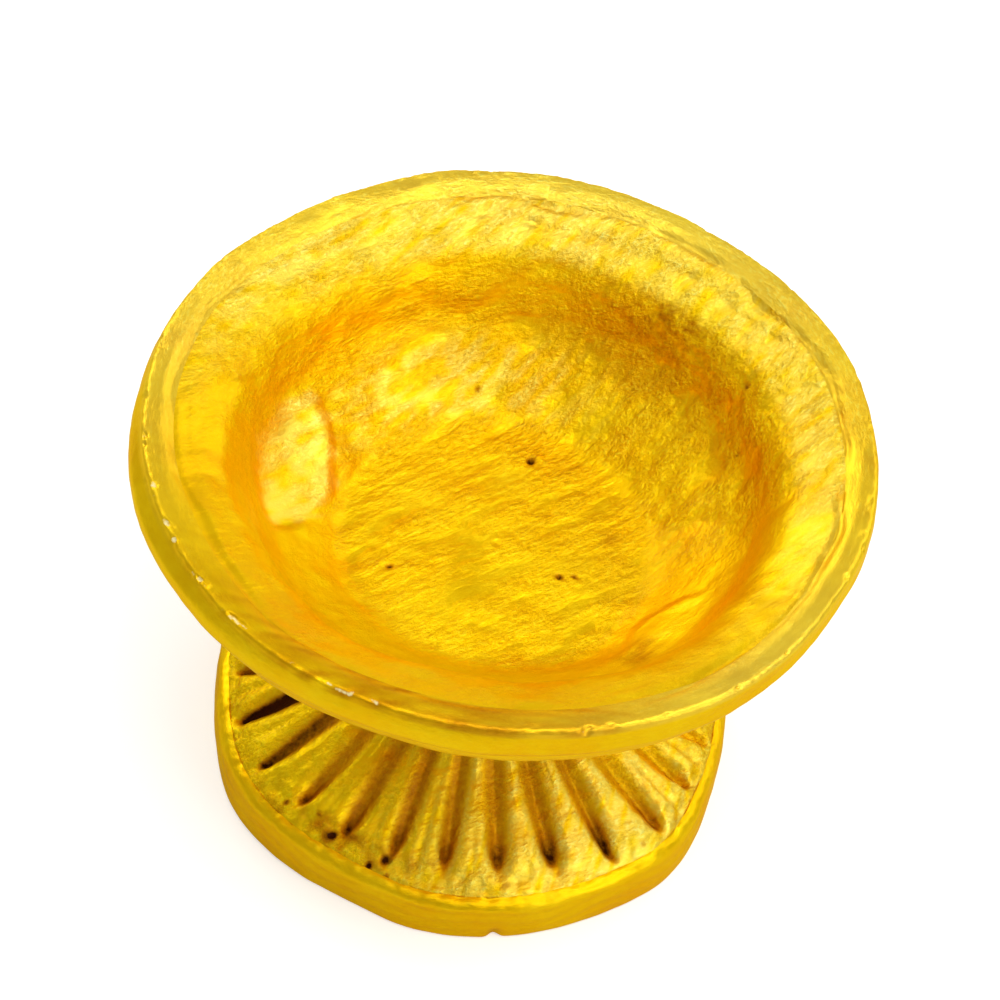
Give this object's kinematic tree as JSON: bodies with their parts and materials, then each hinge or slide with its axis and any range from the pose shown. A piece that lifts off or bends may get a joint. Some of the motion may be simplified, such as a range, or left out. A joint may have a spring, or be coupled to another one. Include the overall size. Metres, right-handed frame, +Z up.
{
  "type": "diya oil lamp",
  "caption": "Stemmed clay oil lamp with a wide flanged dish on a flared, fluted foot, finished in gold paint.",
  "frame": {"origin": "centre of the circle that the lamp stands on", "axes": "+Z up along the lamp's axis, through the middle of the dish; -Y is the side turned to the viewer"},
  "size_m": [0.0712, 0.0712, 0.045],
  "materials": {
    "gold_dish": "fired clay under glossy gold paint, with fine brush strokes and pinholes",
    "gold_rim": "fired clay under glossy gold paint, rubbed and chipped to pale clay along the edge",
    "gold_slip": "squeezed clay slip under thin gold paint",
    "gold_foot": "fluted fired clay under gold paint, darker in the flutes",
    "gold_strip": "plain clay strip under gold paint brushed round the base"
  },
  "bodies": {
    "root": {"dish": "gold_dish", "rim_coil": "gold_rim", "neck_slip": "gold_slip", "fluted_foot": "gold_foot", "base_strip": "gold_strip"}
  },
  "joints": []
}
